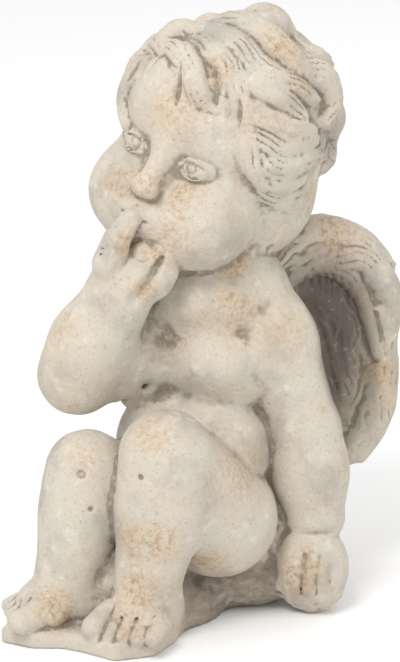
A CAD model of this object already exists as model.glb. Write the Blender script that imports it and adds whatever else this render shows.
"""Seated putto in weathered cast stone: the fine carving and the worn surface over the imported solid."""

import math

import bpy
import numpy as np
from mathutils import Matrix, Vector


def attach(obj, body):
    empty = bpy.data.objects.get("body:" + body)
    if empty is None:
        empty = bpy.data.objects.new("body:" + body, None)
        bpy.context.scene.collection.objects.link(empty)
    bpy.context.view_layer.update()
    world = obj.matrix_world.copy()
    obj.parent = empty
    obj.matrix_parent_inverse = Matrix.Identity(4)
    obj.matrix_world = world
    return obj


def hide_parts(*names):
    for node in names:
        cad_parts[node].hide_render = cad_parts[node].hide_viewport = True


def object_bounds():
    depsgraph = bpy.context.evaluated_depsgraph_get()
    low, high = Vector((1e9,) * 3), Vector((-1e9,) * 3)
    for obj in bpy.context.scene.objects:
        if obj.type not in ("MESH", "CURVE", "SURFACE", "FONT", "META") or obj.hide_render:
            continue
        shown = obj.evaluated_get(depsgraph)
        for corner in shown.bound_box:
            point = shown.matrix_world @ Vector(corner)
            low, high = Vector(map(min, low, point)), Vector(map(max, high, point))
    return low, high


bl_info = {
    "name": "Stone putto",
    "version": (1, 0, 0),
    "blender": (4, 5, 0),
    "location": "View3D > Sidebar > Putto",
    "description": "Carves and weathers a seated putto in cast stone",
    "category": "Object",
}

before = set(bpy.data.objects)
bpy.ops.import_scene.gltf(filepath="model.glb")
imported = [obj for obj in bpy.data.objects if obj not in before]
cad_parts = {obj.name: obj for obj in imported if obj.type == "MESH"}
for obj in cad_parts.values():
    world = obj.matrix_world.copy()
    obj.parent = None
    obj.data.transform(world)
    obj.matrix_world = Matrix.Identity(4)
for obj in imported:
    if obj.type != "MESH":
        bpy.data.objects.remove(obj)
CAD_BOX = [list(corner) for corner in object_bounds()]
UNIT = 0.3 / 98  # every place and radius of the figure is a share of its height, 98 units to the crown
MIDDLE = np.array([1.006, -2.933, 0.0])  # the box's middle in the sculptor's frame, in units


class PuttoCarving(bpy.types.PropertyGroup):
    """Sizes of the carving, as a sculptor would set them."""

    grain: bpy.props.FloatProperty(
        name="Clay grain", description="Size of the cells that the form is first cut in",
        default=0.001, min=0.0006, max=0.004, unit="LENGTH")
    strand_depth: bpy.props.FloatProperty(
        name="Strand depth", description="Depth of the grooves between strands of hair",
        default=0.0013, min=0.0, max=0.003, unit="LENGTH")
    strand_width: bpy.props.FloatProperty(
        name="Strand width", description="Width of one strand of hair",
        default=0.0034, min=0.002, max=0.008, unit="LENGTH")
    wear: bpy.props.FloatProperty(
        name="Wear", description="Height of the hand-worked unevenness of the skin",
        default=0.0003, min=0.0, max=0.002, unit="LENGTH")
    triangles: bpy.props.IntProperty(
        name="Triangles", description="Triangles of the finished mesh", default=192000, min=20000, max=199000)


class PuttoStone(bpy.types.PropertyGroup):
    """Colours of the stone."""

    pale: bpy.props.FloatVectorProperty(
        name="Stone", description="Clean stone", subtype="COLOR",
        size=3, min=0, max=1, default=(0.57, 0.515, 0.435))
    grey: bpy.props.FloatVectorProperty(
        name="Grey", description="Weathered stone", subtype="COLOR",
        size=3, min=0, max=1, default=(0.4, 0.37, 0.325))
    ochre: bpy.props.FloatVectorProperty(
        name="Ochre", description="Rusty stain", subtype="COLOR",
        size=3, min=0, max=1, default=(0.38, 0.24, 0.13))
    dirt: bpy.props.FloatVectorProperty(
        name="Dirt", description="Dirt in the hollows", subtype="COLOR",
        size=3, min=0, max=1, default=(0.12, 0.1, 0.08))


# Forms. Each is (centre, reach, distance). Places are in UNITs from the ground up, or in their own frame.

FAR = 6.0


def rotation(turn):
    """The matrix of a turn in degrees about X, then Y, then Z."""
    a, b, c = (math.radians(t) for t in turn)
    x = np.array([[1, 0, 0], [0, math.cos(a), -math.sin(a)], [0, math.sin(a), math.cos(a)]])
    y = np.array([[math.cos(b), 0, math.sin(b)], [0, 1, 0], [-math.sin(b), 0, math.cos(b)]])
    z = np.array([[math.cos(c), -math.sin(c), 0], [math.sin(c), math.cos(c), 0], [0, 0, 1]])
    return z @ y @ x


def length(v):
    return np.sqrt(np.einsum("ij,ij->i", v, v))


def egg(centre, radii, turn=(0, 0, 0)):
    """An ellipsoid of three radii."""
    turned, middle, size = rotation(turn), np.array(centre, float), np.array(radii, float)

    def distance(p):
        q = (p - middle) @ turned / size
        near = length(q)
        return near * (near - 1) / (length(q / size) + 1e-9)

    return middle, float(size.max()), distance


def ball(centre, radius):
    return egg(centre, (radius, radius, radius))


def limb(start, start_radius, end, end_radius):
    """A tapering rod with round ends."""
    return chain([start, end], [start_radius, end_radius])


def smooth_points(points, count):
    """Points along a Catmull-Rom curve, with centripetal spacing."""
    p = np.array(points, float)
    p = np.vstack([2 * p[0] - p[1], p, 2 * p[-1] - p[-2]])
    spans = len(p) - 3
    found = []
    for s in np.linspace(0, spans, count + 1):
        i = min(int(s), spans - 1)
        q = p[i:i + 4]
        gaps = np.maximum(length(q[1:] - q[:-1]) ** 0.5, 1e-4)
        t0, t1 = 0.0, gaps[0]
        t2 = t1 + gaps[1]
        t3 = t2 + gaps[2]
        t = t1 + (s - i) * (t2 - t1)
        a = [q[0] + (q[1] - q[0]) * (t - t0) / (t1 - t0), q[1] + (q[2] - q[1]) * (t - t1) / (t2 - t1),
             q[2] + (q[3] - q[2]) * (t - t2) / (t3 - t2)]
        b = [a[0] + (a[1] - a[0]) * (t - t0) / (t2 - t0), a[1] + (a[2] - a[1]) * (t - t1) / (t3 - t1)]
        found.append(b[0] + (b[1] - b[0]) * (t - t1) / (t2 - t1))
    return np.array(found)


def chain(points, radii, away=None, grooves=None):
    """Balls joined along points. With grooves (width, depth, phase), fine uneven strands run along it, side
    by side as seen from away."""
    p, r = np.array(points, float), np.array(radii, float)
    middle = (p.min(0) + p.max(0)) / 2
    reach = float((length(p - middle) + r).max())

    def distance(q):
        best = np.full(len(q), 1e3)
        aside = np.zeros(len(q))
        for a, b, ra, rb in zip(p[:-1], p[1:], r[:-1], r[1:]):
            way = b - a
            off = q - a
            t = np.clip(off @ way / (way @ way + 1e-9), 0, 1)
            off = off - t[:, None] * way
            d = length(off) - ra - (rb - ra) * t
            closer = d < best
            best = np.where(closer, d, best)
            if grooves:
                side = np.cross(way, (a + b) / 2 - away)
                aside = np.where(closer, off @ (side / (np.linalg.norm(side) + 1e-9)), aside)
        if grooves:
            width, depth, phase = grooves
            near = np.flatnonzero(np.abs(best) < 1.2)
            drift = noise(q[near], 5, 7) * 0.9 + aside[near] / width
            wave = np.abs(np.sin(np.pi * drift + phase))
            fade = np.clip(0.55 + noise(q[near], 3, 8), 0.1, 1) * np.clip(1.5 - np.abs(best[near]), 0, 1)
            best[near] += depth * (1 - wave) ** 1.5 * fade
        return best

    return middle, reach, distance


def strand(points, radius, taper=0.35, pieces=7, **carving):
    """A curved rod through points, thinner towards both ends."""
    t = np.arange(pieces + 1) / pieces
    girth = radius * (taper + (1 - taper) * np.sin(np.pi * np.minimum(1, t * 0.9 + 0.1)))
    return chain(smooth_points(points, pieces), girth, **carving)


def below(level):
    return np.zeros(3), 1e3, lambda p: p[:, 2] - level


def add(form, blend=1.0):
    return form, blend, 1


def cut(form, blend=1.0):
    return form, blend, -1


def carve(steps, p):
    """Signed distance of points from a list of added and cut forms, taken in order. Beyond FAR it is FAR."""
    d = np.full(len(p), FAR)
    middle = (p.min(0) + p.max(0)) / 2
    spread_out = np.linalg.norm(p.max(0) - middle)
    for (centre, reach, distance), blend, sign in steps:
        if np.linalg.norm(centre - middle) - reach - spread_out > blend + (sign * d).max():
            continue
        near = np.flatnonzero(length(p - centre) - reach < blend + sign * d)
        if len(near):
            a, b = sign * d[near], distance(p[near])
            h = np.maximum(blend - np.abs(a - b), 0)
            d[near] = sign * (np.minimum(a, b) - h * h / (4 * blend))
    return d


def by_blocks(distance, p):
    """A distance worked out block by block, so that each block of points meets only the forms near it."""
    key = np.floor(p / 7).astype(np.int64) @ np.array([1, 1000, 1000000])
    order = np.argsort(key, kind="stable")
    found = np.empty(len(p))
    for part in np.split(order, np.flatnonzero(np.diff(key[order])) + 1):
        found[part] = distance(p[part])
    return found


def placed(steps, origin, turn, reach):
    """A form carved in a frame of its own."""
    turned, middle = rotation(turn), np.array(origin, float)
    return middle, reach, lambda p: carve(steps, (p - middle) @ turned)


def mirrored(form):
    """The same form on his other side."""
    centre, reach, distance = form
    over = np.array([-1, 1, 1])
    return centre * over, reach, lambda p: distance(p * over)


def noise(p, size, seed):
    """Smooth random values from -1 to 1 over space, with lumps of a size."""
    q = p / size + seed * 17.3
    cell = np.floor(q).astype(np.int64)
    f = q - cell
    f = f * f * (3 - 2 * f)
    total = np.zeros(len(p))
    for corner in range(8):
        o = np.array([corner & 1, corner >> 1 & 1, corner >> 2])
        n = (cell + o) @ np.array([374761393, 668265263, 2147483647 // 7]) + seed * 1274126177
        n = (n ^ (n >> 13)) * 1274126177 & 0x7FFFFFFF
        n = (n ^ (n >> 16)) & 0xFFFF
        total += (n / 32767.5 - 1) * np.prod(np.where(o, f, 1 - f), axis=1)
    return total


# The figure, a part at a time.


def torso():
    return [
        add(egg([0, 4.5, 12], [13.6, 11.5, 12])),
        add(egg([-0.4, -1.4, 26.5], [13, 11.6, 11.5]), 4),
        add(egg([-0.2, 1.5, 42], [13, 9.8, 11.5]), 2),
        add(limb([-9.5, 3, 47], 6, [9.5, 4.5, 46.6], 6.2), 4),
        add(egg([-5, -5.6, 42.5], [5.8, 4, 5]), 2.5),
        add(egg([5.4, -4.8, 42.5], [5.8, 4, 5]), 2.5),
        add(egg([0, 9, 40], [11, 5, 12]), 4),
        add(egg([1.5, 3.6, 53.5], [11.5, 8.4, 7]), 4),
        add(egg([1, -3.4, 52.6], [10.5, 7, 6.6]), 3),
        add(limb([0.3, 2, 50], 8.4, [1.6, 1.4, 62], 8.4), 3),
        add(egg([-7.4, -8, 44], [5.6, 9, 10]), 3),
        cut(strand([[-11, -8.2, 35.8], [-3, -13.4, 34.8], [5, -12.2, 34.2], [12.5, -5, 35]], 0.6,
                   pieces=12), 1.4),
        cut(strand([[-9.5, -8, 39], [-1, -10.8, 37.8], [7, -9, 38.2]], 0.45, pieces=10), 1.2),
        cut(ball([-0.6, -13.4, 30.2], 0.9), 1),
        add(ball([5.2, -8.6, 42], 0.8), 0.6),
    ]


def propped_arm():
    hand = [17.6, 6.4, 7.2]
    facing = math.radians(34)
    across = [math.cos(facing), math.sin(facing)]
    steps = [
        add(egg([11.4, 5, 45], [6.2, 6.6, 6.8]), 2.5),
        add(limb([12, 5.4, 43], 6, [15.2, 7.8, 30], 5.5), 2),
        add(limb([15.2, 7.8, 30], 5.6, [17.2, 8, 15.4], 4.8), 1.5),
        add(egg([16.4, 8, 23], [6, 5.8, 6.8]), 2.5),
        cut(strand([[12, 3.4, 13.9], [17, 2.6, 13.6], [21.4, 5.6, 13.8], [22.4, 9.8, 14.2]], 0.4,
                   pieces=12), 1),
        add(egg(hand, [6, 5.8, 7.2], [0, 0, 34]), 0.8),
        add(egg([12.2, 4.6, 7.6], [2.4, 2.8, 5], [8, 0, 30]), 0.9),
        cut(strand([[12.9, 1.2, 11], [13.9, 1, 7], [14.1, 1.2, 3.4]], 0.4), 0.8),
    ]
    for i in range(3):
        side, out = (i - 0.7) * 2.5, 5.9 - abs(i - 0.9) * 0.55
        x = hand[0] + across[0] * side + across[1] * out
        y = hand[1] + across[1] * side - across[0] * out
        steps.append(cut(strand([[x, y + 0.9, 10.6], [x, y, 8], [x - 0.3, y + 0.4, 4.4]], 0.62, 0.5), 0.9))
    return steps


def raised_arm():
    steps = [
        add(egg([-10.8, 2, 45.8], [6.2, 6.6, 7]), 2.5),
        add(limb([-11, 1, 45.4], 6.2, [-12.6, -15.6, 39.8], 6.1), 2),
        add(limb([-12.6, -15.8, 39.8], 6.2, [-5.6, -15.4, 52.5], 5.5), 1.5),
        add(egg([-10, -16.4, 45.4], [6.5, 6, 7.4], [0, 28, 0]), 2.5),
        add(egg([-3, -16.6, 56], [5.6, 4.7, 6.6], [0, 20, 0]), 1.5),
        add(egg([1.8, -14.4, 58.4], [3.2, 3.4, 4.6], [0, 10, 0]), 1.2),
        add(limb([-2.4, -13, 57], 3.6, [-1.6, -6, 58], 4.4), 2),
        add(chain([[-3.4, -19.6, 60], [-1.6, -20, 64.2], [0, -18.6, 67.4]], [2.7, 2.1, 1.6]), 0.8),
    ]
    # The other fingers are curled against the palm.
    for i in range(3):
        steps.append(add(ball([0.6 + i * 1.5, -16.4 + i * 1.2, 61.6 - i * 1.7], 1.6), 0.5))
    palm_edge = [[3.6, -15.6, 61], [3, -17.4, 58.4], [1.6, -19.4, 55], [0.6, -20.4, 52.6]]
    steps.append(cut(strand(palm_edge, 0.7), 1.2))
    for z, y in ((62.2, -22.6), (63, -22.4)):
        steps.append(cut(strand([[-4.6, y + 2, z - 0.6], [-2, y, z], [0.6, y + 1.6, z - 0.2]], 0.25), 0.5))
    return steps


def foot(side):
    steps = [
        add(egg([0, 1.6, 4.6], [4.7, 4.6, 4.6])),
        add(limb([0, 0.4, 7], 5, [0, -3.4, 5.6], 4), 2),
        add(egg([0, -4.2, 4.6], [6.2, 3.8, 3.2]), 1.5),
    ]
    for i in range(5):
        across = side * (4.1 - i * 2.3 + (-0.4 if i else 0))
        tip = -9.4 + i * 0.45
        girth = 1.3 if i else 2
        back = [across * 0.85, tip + 4, 5 - i * 0.1]
        steps.append(add(limb(back, girth + 0.5, [across, tip, 2.2 + girth], girth), 0.25))
    # Cuts part the toes, down to the bed they stand on.
    for i in range(4):
        across = side * (2.3 - i * 2.3 if i else 1.95)
        tip = -9.4 + i * 0.45
        gap = [[across, tip + 2.9, 7.2 - i * 0.2], [across, tip + 0.6, 5.4], [across, tip - 1, 3.2]]
        steps.append(cut(strand(gap, 0.3, pieces=8), 0.3))
    return steps


def leg(knee, ankle, hip, girths, heading, side):
    calf = [k * 0.6 + a * 0.4 for k, a in zip(knee, ankle)]
    thigh, bend, shin = girths
    return [
        add(limb(hip, thigh, knee, bend), 1),
        add(limb(knee, bend, ankle, shin), 1.5),
        add(egg([calf[0], calf[1] + 1.2, calf[2]], [shin * 1.22, shin * 1.3, 9]), 3),
        add(placed(foot(side), [ankle[0], ankle[1], 0], [0, 0, heading], 18), 1),
    ]


def legs():
    return [
        *leg([-7.6, -20.4, 26], [-9, -24.2, 8.9], [-7.4, -4, 15], [9.4, 6.1, 5.1], -30, 1),
        *leg([5.8, -17.4, 29.6], [4, -20, 9.5], [6.6, -4.5, 16.5], [9.6, 7.2, 5.4], 4, -1),
    ]


def slab(outline, rounding, top):
    """A flat bed with an outline seen from above, its corners and its upper edge rounded."""
    corners = np.array(outline, float)
    middle = np.array([*corners.mean(0), 0])

    def distance(p):
        nearest = np.full(len(p), 1e6)
        inside = np.zeros(len(p), bool)
        for a, b in zip(corners, np.roll(corners, -1, 0)):
            way, off = b - a, p[:, :2] - a
            t = np.clip(off @ way / (way @ way), 0, 1)
            gap = off - t[:, None] * way
            nearest = np.minimum(nearest, np.einsum("ij,ij->i", gap, gap))
            level = (a[1] > p[:, 1]) != (b[1] > p[:, 1])
            inside ^= level & (off[:, 0] < way[0] * off[:, 1] / (way[1] or 1e-9))
        side = np.where(inside, -1, 1) * np.sqrt(nearest) - rounding
        over = p[:, 2] - top
        h = np.maximum(rounding - np.abs(side - over), 0)
        return np.maximum(side, over) + h * h / (4 * rounding)

    return middle, float(length(corners - middle[:2]).max()) + rounding, distance


def ground():
    rock, wide, bed = 0.019 / UNIT, 0.044 / UNIT, 0.008 / UNIT
    bed_outline = [[-13.4, -33], [-8.8, -32.6], [-5.2, -30], [-1, -29.4], [4.8, -29.6], [8, -25.4], [7, -19],
                   [3.6, -10], [-8, -10], [-12.6, -22]]
    return [
        add(egg([0.5, 6, rock * 0.75], [wide, 12.5, rock]), 1.5),
        add(egg([-1, -8, rock * 0.3], [wide * 0.62, 12, rock * 0.9]), 2),
        add(slab(bed_outline, 1.4, bed), 1),
        add(egg([-2.5, -15, 3], [8.5, 9.5, 12], [-14, 0, 0]), 2),
    ]


SKULL = np.array([0, 1.5, 2.0]), np.array([15.2, 17.2, 16.6])
LOCK_DEPTH = 2.45


def on_skull(place, lift):
    around, up = (math.radians(v) for v in place)
    way = np.array([math.sin(around) * math.cos(up), -math.cos(around) * math.cos(up), math.sin(up)])
    return SKULL[0] + way * (SKULL[1] + lift)


# Locks of the brow and of his left side: girth, lift, then degrees round from the face and up along the lock.
BROW_LOCKS = [
    [2.3, 0.3, [[-66, 37], [-63, 28], [-61, 18], [-59, 10], [-57, 2], [-51, -7], [-40, -13]]],
    [2.4, 0.5, [[-38, 51], [-48, 44], [-46, 36], [-34, 33]]],
    [2.3, 0.7, [[-39, 34], [-21, 36], [-6, 33], [4, 26], [13, 20], [25, 19]]],
    [1.2, -1.0, [[-29, 29], [-25, 25], [-23, 20]]],
    [1.2, -1.0, [[-35, 27], [-34, 22], [-32, 16]]],
]
# Hollows between the locks over the brow: degrees round and up, radii and turn.
BROW_HOLLOWS = [
    [[-5, 22], [0.9, 2, 4.4], [0, -20, 0]],
    [[15, 27], [1, 1.8, 4], [0, -34, 0]],
    [[33, 18], [0.8, 1.7, 3.6], [0, -20, 0]],
    [[-47, 15], [1.2, 1.8, 3.4], [0, 8, 0]],
]
LEFT_LOCKS = [
    [2.3, 0.4, [[-20, 48], [2, 45], [19, 40], [28, 31], [34, 24], [42, 16]]],
    [2.8, 0.6, [[-38, 51], [-6, 56], [20, 52], [36, 45], [53, 41], [72, 38], [87, 33]]],
    [3.1, 1.1, [[-35, 62], [-2, 70], [38, 67], [60, 58], [74, 51], [91, 45]]],
    [2.5, 0.1, [[21, 36], [36, 35], [50, 33], [62, 29], [77, 24]]],
    [2.8, 0.8, [[82, 49], [100, 46], [110, 38], [110, 28], [100, 20]]],
    [2.4, 0.2, [[33, 26], [44, 20], [56, 17], [70, 17], [86, 16]]],
    [2.4, -0.1, [[39, 15], [49, 8], [60, 6], [74, 8], [91, 11]]],
    [2.4, 0.1, [[48, 3], [60, -3], [72, -3], [86, 1], [103, 1]]],
    [2.3, -0.2, [[55, -7], [69, -13], [81, -12], [96, -8]]],
    [1.5, -0.3, [[31, 20], [39, 12], [45, 1], [52, -9], [62, -17]]],
    [1.5, -0.2, [[36, 18], [44, 8], [52, -3], [60, -13]]],
    [2.2, -0.2, [[64, -20], [79, -23], [98, -25], [116, -24]]],
    [2.1, -0.3, [[67, -32], [88, -36], [110, -32]]],
]


def lock(radius, lift, points):
    carving = bpy.context.scene.putto_carving
    lift += LOCK_DEPTH - radius
    places = [on_skull(p, lift if i else lift - 0.8) for i, p in enumerate(points)]
    grooves = (carving.strand_width / UNIT, carving.strand_depth / UNIT, radius * 7)
    return add(strand(places, radius, 0.5, 14, away=SKULL[0], grooves=grooves), 0.9)


def hair():
    steps = [lock(*row) for row in BROW_LOCKS]
    for radius, lift, points in LEFT_LOCKS:
        steps.append(lock(radius, lift, points))
        if points[0][0] > 20:
            steps.append(lock(radius, lift, [[-a - 10, e - 3] for a, e in points]))
    # Over the crown the hair is combed back from the brow.
    for i in range(5):
        x = i * 40 - 80
        steps.append(lock(3.1, 0.9 - abs(i - 2.3) * 0.4, [[x, 70], [x * 0.6 + 180, 84], [180 - x * 0.5, 66]]))
    for row in range(4):
        count = 4 + row % 2
        for i in range(count):
            around = 180 + (i - (count - 1) / 2) * 27
            start = 62 - row * 27
            bend = 9 if i % 2 else -9
            fall = [[around, start], [around + bend, start - 12], [around - bend, start - 25],
                    [around, start - 38]]
            steps.append(lock(3, 0.3, fall))
    # Deep hollows part the locks over the brow.
    for place, radii, turn in BROW_HOLLOWS:
        steps.append(cut(egg(on_skull(place, LOCK_DEPTH + 0.3), radii, turn), 0.5))
    return steps


def features():
    """A generic child's face: cheeks, eyes with lids and irises, nose and lips."""
    eye = 4.0  # the eyes' places across and their widths are shares of it
    steps = []
    for side in (-1, 1):
        def lid(x, y, z):
            return [side * (eye * 1.4 + x), -14.3 + y, -2.8 + z]

        iris = [lid(-0.2 + 0.85 * np.cos(a), -0.95, 0.85 * np.sin(a)) for a in np.arange(7) * np.pi / 3]
        upper = [lid(-2.6, -0.7, -0.5), lid(-0.9, -1.5, 1.3), lid(1.3, -1.1, 1.1), lid(3.4, 0.6, -0.8)]
        fold = [lid(-2.4, -1.2, 0.5), lid(-0.8, -2, 2.2), lid(1.5, -1.5, 2), lid(3.6, 0.3, -0.1)]
        lower = [lid(-2.2, -0.6, -0.9), lid(0, -1.1, -1.7), lid(2.5, 0, -1.1)]
        steps += [
            add(ball([side * 6.6, -9.6, -11.6], 6.8), 4.5),
            cut(egg(lid(0, -4.1, 0.3), [eye * 0.95, 2.6, 2.4]), 1.6),
            add(egg(lid(-0.1, 0.9, 0), [eye * 0.7, 2, 1.75]), 0.7),
            cut(strand(iris, 0.22, 1, 18), 0.1),
            cut(ball(lid(-0.2, -1.35, 0.1), 0.34), 0.1),
            add(strand(upper, 0.28, pieces=12), 0.3),
            cut(strand(fold, 0.18, pieces=12), 0.4),
            add(strand(lower, 0.2, pieces=10), 0.4),
            add(ball([side * 1.35, -17.4, -8.4], 0.95), 0.7),
            cut(ball([side * 0.75, -18.2, -9.3], 0.36), 0.5),
            cut(ball([side * 3.1, -17.3, -12.8], 0.5), 0.9),
        ]
    bow = [[-2.6, -16.8, -12.5], [-0.9, -18.2, -11.9], [0, -18, -12.1], [0.9, -18.2, -11.9],
           [2.6, -16.8, -12.5]]
    steps += [
        add(limb([0, -15.3, -2.2], 1.5, [0, -17.8, -7], 1.5), 2.2),
        add(ball([0, -18, -7.9], 1.5), 1),
        add(egg([0, -15.8, -12.7], [3.9, 2.6, 2.7]), 1.8),
        add(strand(bow, 0.75, pieces=12), 0.6),
        add(strand([[-2, -16.7, -13.7], [0, -17.8, -14.1], [2, -16.7, -13.7]], 0.85, pieces=10), 0.6),
        cut(strand([[-2.6, -17.5, -13], [0, -19, -13], [2.6, -17.5, -13]], 0.3, pieces=10), 0.4),
    ]
    return steps


def head():
    """The head in its own frame: the face looks along -Y."""
    return [
        add(egg(*SKULL)),
        add(egg([0, -4.8, 4.4], [12.4, 11, 9]), 4),
        add(egg([0, -4.4, -10.2], [12.5, 11.8, 11.2]), 4),
        add(egg([0, 5.5, -7.5], [15.6, 13.4, 13.4]), 3),
        add(ball([0, -12.6, -18], 3.6), 4.5),
        *features(),
        *hair(),
    ]


WING_ROOT, WING_TURN = [6.4, 11.5, 42], [0, 0, 54]

# The wing's edge and its tiers of feathers: girth, taper, depth to the back, then places across and up.
TIERS = [
    [3.7, 0.75, 0.4, [[-4, 8], [1, 14.5], [6.9, 17], [12.5, 15.4], [16, 12], [18, 8], [18.8, 3]]],
    [3, 0.8, 0.4, [[18.6, 6], [18.8, 0], [18.7, -7], [18.2, -12.5], [16.5, -16.8], [13.4, -20]]],
    [2.2, 0.5, -0.8, [[2, 15.5], [6.9, 18.4], [11.4, 17.5], [14.7, 16], [17.5, 13.8], [20, 11.4]]],
    [2.6, 0.5, -1.8,
     [[3, 13.4], [8.3, 14.6], [13.4, 13.2], [17.2, 10.5], [19.4, 7], [19.6, 2.6], [19.2, -3]]],
    [1.8, 0.5, -2.4, [[1, 9.5], [3.6, 12], [7, 12.9], [10.9, 11.4], [13.3, 8.8], [14.8, 5.6], [17.2, -3]]],
    [2.3, 0.5, -1.2, [[19, 0], [19.4, -4], [19.2, -8], [18.9, -12.4], [17.4, -16.6], [15, -20.6]]],
]


def wing():
    thick, lap = 0.0065 / UNIT, 0.0024 / UNIT
    combed = {"away": np.array([8, 40, 0]), "grooves": (1.2, 0.32, 0)}
    steps = [add(egg([8, 1.4, 0], [12, thick * 1.1, 19]))]
    for girth, taper, y, points in TIERS:
        steps.append(add(strand([[u, y, v] for u, v in points], girth, taper, 16, **combed), 0.9))
    steps.insert(3, cut(egg([8.6, -5.4, -2.6], [6.8, 7, 15], [0, -26, 0]), 1.2))
    # Long barbs line the hollow.
    for i in range(5):
        u = i * 2.4 - 1
        ridge = [[u + 1, 0.9, 9], [u + 4.4, 1.2, -2], [u + 7.4, 0.8, -15]]
        steps.append(add(strand(ridge, 1.2, 0.5, 10, **combed), 0.4))
    # Rows of feathers overlap down the back, fanned out towards the tip.
    for row in range(4):
        count = 4 + row
        for i in range(count):
            fan = (i / (count - 1) - 0.5) * 2
            u, v = 8.5 + fan * (8.5 - row * 0.6), 12 - row * 7.4 - fan * fan * (2.5 + row * 0.4)
            centre, turn = [u, thick + 1.8 - row * lap, v], -fan * (30 - row * 8)
            steps.append(add(egg(centre, [2.7, lap * 1.5, 6.6], [-7, turn, 0]), 0.35))
    return steps


# Larger pits left by air: x, y, z and radius.
PITS = [[6.2, -25, 28.4, 0.5], [-4.3, -26.2, 27.3, 1], [-2.9, -25.5, 21.7, 0.5], [11.2, 3.6, 59.8, 0.7]]


def putto():
    left_wing = placed(wing(), WING_ROOT, WING_TURN, 30)
    return [
        *torso(),
        add(left_wing, 1.5),
        add(mirrored(left_wing), 1.5),
        add(placed(head(), [2.2, 2.4, 77.3], [-8, 16, 1], 27), 1),
        *legs(),
        *propped_arm(),
        *raised_arm(),
        *ground(),
        *[cut(ball(centre, radius), 0.4) for *centre, radius in PITS],
        cut(below(0), 0.1),
    ]


def wing_places(p):
    """Points in the frame of each wing in turn: across, depth to the back, and up."""
    return [(p * [side, 1, 1] - WING_ROOT) @ rotation(WING_TURN) for side in (-1, 1)]


def barbs(p):
    """Combed lines on the front of the wings: round the rim, and down inside the hollow."""
    lines, width = np.zeros(len(p)), 1.5
    drift = noise(p, 4.5, 11) * 1.3 + noise(p, 1.6, 12) * 0.5
    force = np.clip(0.5 + 0.8 * noise(p, 2.6, 13), 0.1, 1)
    for q in wing_places(p):
        u, y, v = q[:, 0] - 8, q[:, 1], q[:, 2]
        out = np.hypot(u, v / 1.55)
        rim = np.clip(out / 1.5 - 5.2, 0, 1)
        ring = np.sin(2 * np.pi * (out + drift) / width)
        fall = np.sin(2 * np.pi * (u + v * 0.3 + drift) / width)
        here = np.clip(u / 3 + 2.3, 0, 1) * np.clip(1.5 - y, 0, 1)
        here *= np.clip((length((q - [8, 0, 0]) / [14.5, 7, 22]) - 1) * -12, 0, 1)
        lines += here * force * (ring * rim + fall * (1 - rim))
    return lines


def worn(steps, wear, p):
    """The carved form with its unevenness: skin that a hand has smoothed, and rock that it hasn't."""
    d = carve(steps, p)
    near = np.flatnonzero(np.abs(d) < 3)
    q = p[near]
    rock = np.clip((8 - q[:, 2]) / 5, 0, 1) * np.clip((length(q[:, :2] - [0, 4]) - 4) / 6, 0, 1)
    rock *= np.clip((q[:, 1] + 14) / 5, 0, 1)
    rough = noise(q, 3.2, 1) * 0.9 + noise(q, 1.4, 2) * 0.6 + noise(q, 0.7, 3) * 0.35
    skin = noise(q, 5, 4) * 0.9 + noise(q, 2.1, 5) * 0.5 + noise(q, 0.9, 6) * 0.25
    d[near] += skin * wear + rough * rock * 0.45 + barbs(q) * 0.2
    return np.maximum(d, -p[:, 2])


def points_of(mesh):
    co = np.empty(len(mesh.vertices) * 3, np.float32)
    mesh.vertices.foreach_get("co", co)
    return co.reshape(-1, 3).astype(float)


def normals_of(mesh):
    n = np.empty(len(mesh.vertices) * 3, np.float32)
    mesh.vertex_normals.foreach_get("vector", n)
    return n.reshape(-1, 3).astype(float)


def edges_of(mesh):
    e = np.empty(len(mesh.edges) * 2, np.int32)
    mesh.edges.foreach_get("vertices", e)
    return e.reshape(-1, 2)


def spread(values, edges, times):
    """Values averaged with their neighbours' a number of times."""
    a, b = edges[:, 0], edges[:, 1]
    count = np.bincount(edges.ravel(), minlength=len(values)).astype(float)
    values = values.copy()
    for _ in range(times):
        total = [np.bincount(a, v[b], len(v)) + np.bincount(b, v[a], len(v)) for v in values.T]
        values = 0.5 * values + 0.5 * np.stack(total, 1) / np.maximum(count, 1)[:, None]
    return values


def sampled(distance, low, high, size):
    """Distances over a box on a grid of a size: all near the surface, and one for each block elsewhere."""
    block = 4
    counts = np.ceil((high - low) / size / block).astype(int)
    corner = np.stack(np.meshgrid(*(np.arange(n) for n in counts), indexing="ij"), -1).reshape(-1, 3) * block
    rough = by_blocks(distance, low + (corner + (block - 1) / 2) * size)
    values = np.repeat(np.repeat(np.repeat(rough.reshape(counts), block, 0), block, 1), block, 2)
    cell = np.stack(np.meshgrid(*[np.arange(block)] * 3, indexing="ij"), -1).reshape(-1, 3)
    near = (corner[np.abs(rough) < block * size * 1.1][:, None] + cell).reshape(-1, 3)
    values[tuple(near.T)] = by_blocks(distance, low + near * size)
    return values


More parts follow.
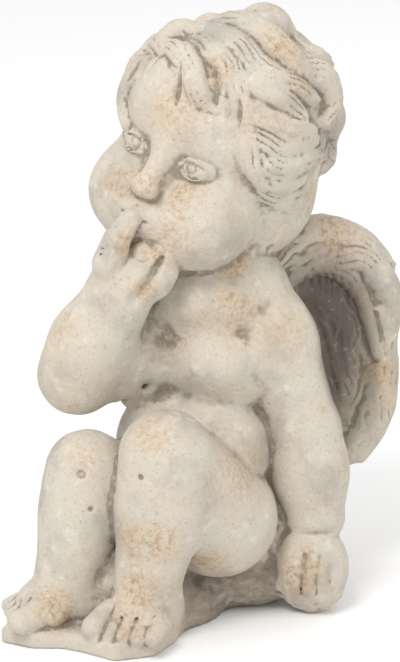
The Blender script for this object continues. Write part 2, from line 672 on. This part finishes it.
def surface_net(values):
    """Corners and quads of the surface where a grid of distances changes sign, in steps of the grid."""
    inside = values < 0
    shape = np.array(values.shape) - 1
    steps = np.eye(3, dtype=int)
    count = np.zeros(shape, np.int8)
    for i, j, k in np.ndindex(2, 2, 2):
        count += inside[i:shape[0] + i, j:shape[1] + j, k:shape[2] + k]
    mixed = (count > 0) & (count < 8)
    cells = np.argwhere(mixed)
    index = np.full(shape, -1)
    index[mixed] = np.arange(len(cells))
    total, hits = np.zeros((len(cells), 3)), np.zeros(len(cells))
    quads = []
    for axis in range(3):
        along, u, v = steps[axis], steps[(axis + 1) % 3], steps[(axis + 2) % 3]
        for offset in (0 * u, u, v, u + v):
            a, b = values[tuple((cells + offset).T)], values[tuple((cells + offset + along).T)]
            crossed = (a < 0) != (b < 0)
            part = np.where(crossed, a / np.where(crossed, a - b, 1), 0)
            total += crossed[:, None] * (offset + along * part[:, None])
            hits += crossed
        ends = [slice(0, n) if i == axis else slice(1, n) for i, n in enumerate(shape)]
        nexts = [slice(1, n + 1) if i == axis else slice(1, n) for i, n in enumerate(shape)]
        here, there = inside[tuple(ends)], inside[tuple(nexts)]
        first = np.argwhere(here != there) + (1 - along)
        ring = np.stack([index[tuple((first - o).T)] for o in (0 * u, u, u + v, v)], 1)
        leaving = inside[tuple(first.T)]
        quads.append(np.where(leaving[:, None], ring, ring[:, ::-1]))
    return cells + total / hits[:, None], np.concatenate(quads)


def settle(mesh, distance, rounds):
    """Moves the mesh's vertices onto the carved form along their normals."""
    for _ in range(rounds):
        co, normal = points_of(mesh), normals_of(mesh)
        d = by_blocks(distance, co / UNIT + MIDDLE) * UNIT
        co -= normal * np.clip(d, -0.0005, 0.0005)[:, None] * 0.8
        mesh.vertices.foreach_set("co", np.clip(co, *CAD_BOX).astype(np.float32).ravel())
        mesh.update()


def mark(mesh, name, values):
    attribute = mesh.attributes.new(name, "FLOAT", "POINT")
    attribute.data.foreach_set("value", values.astype(np.float32))


# Stone.


def node(tree, kind, **settings):
    """A shader node. A setting named in_... or in0 is a socket's value or link, and others are its own."""
    made = tree.nodes.new("ShaderNode" + kind)
    sockets = {}
    for name, value in settings.items():
        if name.startswith("in_"):
            sockets[name[3:].replace("_", " ")] = value
        elif name.startswith("in") and name[2:].isdigit():
            sockets[int(name[2:])] = value
        else:
            setattr(made, name, value)
    for name, value in sockets.items():
        if isinstance(value, bpy.types.NodeSocket):
            tree.links.new(value, made.inputs[name])
        else:
            made.inputs[name].default_value = value
    return made


def maths(tree, operation, a, b=0.0):
    made = node(tree, "Math", operation=operation, use_clamp=operation != "SUBTRACT", in0=a, in1=b)
    return made.outputs[0]


def band(tree, value, low, high):
    """0 below low, 1 above high and smooth between."""
    made = node(tree, "MapRange", interpolation_type="SMOOTHSTEP", in0=value, in1=low, in2=high)
    return made.outputs[0]


def grains(tree, place, scale, detail=4.0, roughness=0.6, warp=0.0):
    """Soft noise, with a number of lumps to the metre."""
    made = node(tree, "TexNoise", in0=place, in_Scale=scale, in_Detail=detail, in_Roughness=roughness,
                in_Distortion=warp)
    return made.outputs[0]


def tint(tree, share, under, over):
    """One colour over another by a share."""
    made = node(tree, "Mix", data_type="RGBA", in0=share, in6=under, in7=over)
    return made.outputs[2]


def cast_stone(look):
    """Worn cast stone: clouds, speckle, rust, dirt and pits."""
    material = bpy.data.materials.new("cast_stone")
    material.use_nodes = True
    tree = material.node_tree
    tree.nodes.clear()
    place = node(tree, "TexCoord").outputs["Object"]
    hollow = node(tree, "Attribute", attribute_name="hollow").outputs["Fac"]
    stain = node(tree, "Attribute", attribute_name="stain").outputs["Fac"]
    gloom = node(tree, "Attribute", attribute_name="gloom").outputs["Fac"]
    rock = node(tree, "Attribute", attribute_name="rock").outputs["Fac"]
    pale, grey, ochre, dirt = ((*c, 1) for c in (look.pale, look.grey, look.ochre, look.dirt))
    sand, chalk, grain_brown = (0.53, 0.44, 0.32, 1), (0.7, 0.66, 0.58, 1), (0.34, 0.29, 0.23, 1)
    rust_wash, crevice = (0.58, 0.44, 0.28, 1), (0.21, 0.175, 0.135, 1)
    earth_brown, pit_brown = (0.2, 0.165, 0.13, 1), (0.16, 0.13, 0.1, 1)

    # Clean and weathered stone lie in soft clouds, with a fine speckle all over.
    clouds = band(tree, grains(tree, place, 30, 6, 0.65), 0.44, 0.68)
    colour = tint(tree, maths(tree, "MULTIPLY", clouds, 0.95), pale, grey)
    warm = maths(tree, "MULTIPLY", band(tree, grains(tree, place, 14, 4), 0.48, 0.68), 0.4)
    colour = tint(tree, warm, colour, sand)
    bright = maths(tree, "MULTIPLY", band(tree, grains(tree, place, 140, 6), 0.52, 0.78), 0.7)
    colour = tint(tree, bright, colour, chalk)
    speckle = maths(tree, "MULTIPLY", band(tree, grains(tree, place, 620, 5, 0.7), 0.5, 0.72), 0.5)
    colour = tint(tree, speckle, colour, grain_brown)

    # Rust shows in patches, broken up into small grains.
    patch = maths(tree, "MULTIPLY", band(tree, grains(tree, place, 34, 5, 0.6, 0.5), 0.55, 0.7), 0.55)
    patch = maths(tree, "ADD", patch, stain)
    crumbs = band(tree, grains(tree, place, 360, 8, 0.75), 0.44, 0.62)
    rust = maths(tree, "MULTIPLY", maths(tree, "MULTIPLY", patch, crumbs), 0.9)
    wash = maths(tree, "MULTIPLY", patch, 0.45)
    colour = tint(tree, wash, colour, rust_wash)
    colour = tint(tree, rust, colour, ochre)

    # Dirt gathers in the hollows, most of all inside the wings, and the rock is streaked with earth.
    grit = grains(tree, place, 260, 7, 0.7)
    low = maths(tree, "MULTIPLY", band(tree, hollow, 0.08, 0.55), band(tree, grit, 0.25, 0.55))
    colour = tint(tree, maths(tree, "MULTIPLY", low, 0.85), colour, crevice)
    flattened = node(tree, "Mapping", in0=place, in3=(1, 1, 3)).outputs[0]
    streaks = band(tree, grains(tree, flattened, 90, 7, 0.7), 0.3, 0.65)
    earth = maths(tree, "MULTIPLY", rock, maths(tree, "ADD", maths(tree, "MULTIPLY", streaks, 0.45), 0.35))
    colour = tint(tree, earth, colour, earth_brown)
    deep = maths(tree, "MULTIPLY", gloom, band(tree, grit, 0.15, 0.45))
    colour = tint(tree, maths(tree, "MULTIPLY", deep, 0.92), colour, dirt)

    # Pits left by air in the casting.
    cells = node(tree, "TexVoronoi", in_Vector=place, in_Scale=420.0)
    few = band(tree, grains(tree, place, 95, 2), 0.52, 0.6)
    hole = node(tree, "MapRange", in0=cells.outputs["Distance"], in1=0.16, in2=0.09).outputs[0]
    pits = maths(tree, "MULTIPLY", hole, few)
    colour = tint(tree, maths(tree, "MULTIPLY", pits, 0.55), colour, pit_brown)

    relief = maths(tree, "ADD", maths(tree, "MULTIPLY", grains(tree, place, 420, 8, 0.7), 0.5),
                   maths(tree, "MULTIPLY", grains(tree, place, 1500, 3, 0.6), 0.2))
    height = maths(tree, "SUBTRACT", relief, pits)
    bump = node(tree, "Bump", in0=0.55, in1=0.0006, in_Height=height)
    shader = node(tree, "BsdfPrincipled", in_Base_Color=colour, in_Normal=bump.outputs[0])
    shader.inputs["Roughness"].default_value = 0.93
    shader.inputs["Specular IOR Level"].default_value = 0.25
    node(tree, "OutputMaterial", in0=shader.outputs[0])
    return material


# Rust stains on him: x, y, z, reach and strength.
STAINS = [
    [4.7, -13.4, 84, 5, 0.6], [9.6, -8.6, 89.2, 2.6, 1], [15.7, 0.3, 93.2, 4, 0.8],
    [18.5, 0.9, 87.6, 3, 0.6], [15.4, -8.7, 82.9, 3.5, 0.5], [18.3, -5.4, 82.4, 3, 0.5],
    [-3.5, -15.5, 72.1, 3, 0.8], [2.8, -17.4, 72, 3.5, 0.6], [7, -14, 71.6, 3, 0.7],
    [0.3, -19.2, 63.7, 2.6, 0.9], [3.1, -16.6, 61.5, 2.2, 0.9], [2, -17.9, 56.2, 2, 0.9],
    [5.7, -15.6, 63.7, 4, 0.6], [8.8, -3.8, 58.8, 3.4, 0.9], [10.9, -4.6, 50.2, 4.5, 0.7],
    [15.8, 0.8, 47.8, 4, 0.5], [6.3, -22.5, 35.2, 4, 0.6], [13.4, -9.6, 27, 6, 0.5],
    [4.4, -25.3, 17.7, 3, 0.8], [9.3, -23.5, 17.7, 3.2, 0.8], [6.1, -25, 10.1, 3.2, 0.7],
    [5.7, -28.4, 7.4, 4, 0.6], [-6.5, -30.4, 6.1, 3.4, 0.9], [-6.2, -29.5, 3.8, 2.6, 0.8],
    [-4.5, -24.8, 29.6, 3, 0.5], [18.6, 1.3, 8, 4, 0.6], [15.2, 17.6, 58.2, 5, 0.5],
    [18.6, 24, 36.2, 2.6, 1], [17.4, 20.3, 48.8, 3, 0.5], [10, -11.6, 11.1, 3.5, 0.7],
    [11, -1.7, 7.6, 3, 0.4], [-11, -21.9, 48.7, 3, 0.5], [-9.6, -21.8, 40, 4, 0.25],
]


class CarvePutto(bpy.types.Operator):
    """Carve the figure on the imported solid's forms, with finer hair, face, feathers and worn skin"""

    bl_idname = "putto.carve"
    bl_label = "Carve the putto"

    def execute(self, context):
        carving = context.scene.putto_carving
        bpy.ops.object.select_all(action="DESELECT")
        steps = putto()
        wear, grain = carving.wear / UNIT, carving.grain / UNIT
        low, high = (np.array(corner) / UNIT + MIDDLE for corner in CAD_BOX)
        grid_low = low - 2.5 * grain
        values = sampled(lambda p: worn(steps, wear, p), grid_low, high + 2.5 * grain, grain)
        corners, quads = surface_net(values)
        mesh = bpy.data.meshes.new("putto_statue")
        mesh.from_pydata((grid_low + corners * grain - MIDDLE) * UNIT, [], quads)
        piece = bpy.data.objects.new("putto_statue", mesh)
        context.scene.collection.objects.link(piece)
        piece.select_set(True)
        context.view_layer.objects.active = piece
        bpy.ops.object.mode_set(mode="EDIT")
        bpy.ops.mesh.select_all(action="SELECT")
        bpy.ops.mesh.quads_convert_to_tris()
        bpy.ops.object.mode_set(mode="OBJECT")
        modifier = piece.modifiers.new("Fewer", "DECIMATE")
        modifier.ratio = min(1.0, carving.triangles / len(mesh.polygons))
        bpy.ops.object.modifier_apply(modifier=modifier.name)
        settle(piece.data, lambda p: worn(steps, wear, p), 1)
        bpy.ops.object.mode_set(mode="EDIT")
        bpy.ops.mesh.select_all(action="SELECT")
        bpy.ops.mesh.dissolve_degenerate(threshold=0.00001)
        bpy.ops.mesh.quads_convert_to_tris()
        bpy.ops.object.mode_set(mode="OBJECT")
        piece.data.validate()
        bpy.ops.object.shade_smooth()
        self.weather(piece.data)
        piece.data.materials.append(cast_stone(context.scene.putto_stone))
        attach(piece, "root")
        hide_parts("putto")
        return {"FINISHED"}

    def weather(self, mesh):
        """Marks where dirt and rust gather, for the stone's finish."""
        co, normal, edges = points_of(mesh), normals_of(mesh), edges_of(mesh)
        near = spread(co, edges, 6)
        wide = spread(near, edges, 60)
        fine = np.einsum("ij,ij->i", near - co, normal) / 0.00035
        broad = np.einsum("ij,ij->i", wide - co, normal) / 0.003
        mark(mesh, "hollow", np.clip(fine * 0.6 + broad * 0.2, 0, 1))
        p = co / UNIT + MIDDLE
        stain = np.zeros(len(p))
        for *centre, reach, strength in STAINS:
            stain = np.maximum(stain, strength * np.clip(1.4 - length(p - centre) / reach, 0, 1))
        mark(mesh, "stain", stain)
        gloom = np.zeros(len(p))
        for q in wing_places(p):
            inside = length((q - [7.6, -4.4, -2.8]) / [8.2, 7.4, 15.6])
            gloom = np.maximum(gloom, np.clip(2.9 - 2.2 * inside, 0, 1) * np.clip(1.5 - q[:, 1], 0, 1))
        mark(mesh, "gloom", gloom)
        rock = np.clip(1.5 - np.abs(by_blocks(lambda q: carve(ground(), q), p)) / 0.5, 0, 1)
        mark(mesh, "rock", rock * np.clip(p[:, 1] / 3 + 5.5, 0, 1))


class SetStudio(bpy.types.Operator):
    """Set the pale floor, the soft lights and the camera"""

    bl_idname = "putto.studio"
    bl_label = "Set the studio"

    def execute(self, context):
        bpy.ops.object.select_all(action="DESELECT")
        bpy.ops.mesh.primitive_plane_add(size=30, location=(0, 0, -0.0002))
        floor = context.object
        floor.name = "floor"
        pale = bpy.data.materials.new("pale_floor")
        pale.use_nodes = True
        shader = pale.node_tree.nodes["Principled BSDF"]
        shader.inputs["Base Color"].default_value = (0.92, 0.92, 0.92, 1)
        shader.inputs["Roughness"].default_value = 0.9
        floor.data.materials.append(pale)
        world = bpy.data.worlds.new("studio")
        context.scene.world = world
        world.use_nodes = True
        back = world.node_tree.nodes["Background"]
        back.inputs[0].default_value = (1, 1, 1, 1)
        back.inputs[1].default_value = 0.92
        for name, around, up, away, size, power in (
            ("key", 12, 50, 1.7, 0.6, 14.5), ("fill", 95, 25, 2.2, 1.6, 2), ("back", 190, 45, 2.0, 1.2, 4)):
            a, e = math.radians(around), math.radians(up)
            way = Vector((math.sin(a) * math.cos(e), -math.cos(a) * math.cos(e), math.sin(e)))
            bpy.ops.object.light_add(type="AREA", location=Vector((0, 0, 0.15)) + way * away)
            lamp = context.object
            lamp.name = name
            lamp.data.size = size
            lamp.data.energy = power
            lamp.rotation_euler = way.to_track_quat("Z", "Y").to_euler()
        around, up, away = math.radians(35), math.radians(15), 500 * UNIT
        way = Vector((math.sin(around) * math.cos(up), -math.cos(around) * math.cos(up), math.sin(up)))
        target = Vector((-MIDDLE[0] * UNIT, -MIDDLE[1] * UNIT, 45.4 * UNIT))
        bpy.ops.object.camera_add(location=target + way * away)
        camera = context.object
        camera.name = "camera"
        camera.rotation_euler = way.to_track_quat("Z", "Y").to_euler()
        camera.data.lens = 169.7
        context.scene.camera = camera
        context.scene.view_settings.view_transform = "Standard"
        return {"FINISHED"}


class PuttoPanel(bpy.types.Panel):
    """Sizes, colours and steps of the putto"""

    bl_idname = "VIEW3D_PT_putto"
    bl_label = "Putto"
    bl_space_type = "VIEW_3D"
    bl_region_type = "UI"
    bl_category = "Putto"

    def draw(self, context):
        for group in (context.scene.putto_carving, context.scene.putto_stone):
            box = self.layout.box()
            for name in group.__annotations__:
                box.prop(group, name)
        for step in STEPS:
            self.layout.operator(step.bl_idname)


GROUPS = {"putto_carving": PuttoCarving, "putto_stone": PuttoStone}
STEPS = (CarvePutto, SetStudio)


def register():
    for kind in (*GROUPS.values(), *STEPS, PuttoPanel):
        bpy.utils.register_class(kind)
    for name, kind in GROUPS.items():
        setattr(bpy.types.Scene, name, bpy.props.PointerProperty(type=kind))


def unregister():
    for name in GROUPS:
        delattr(bpy.types.Scene, name)
    for kind in (PuttoPanel, *STEPS, *GROUPS.values()):
        bpy.utils.unregister_class(kind)


def main():
    register()
    bpy.ops.putto.carve()
    bpy.ops.putto.studio()


if __name__ == "__main__":
    main()
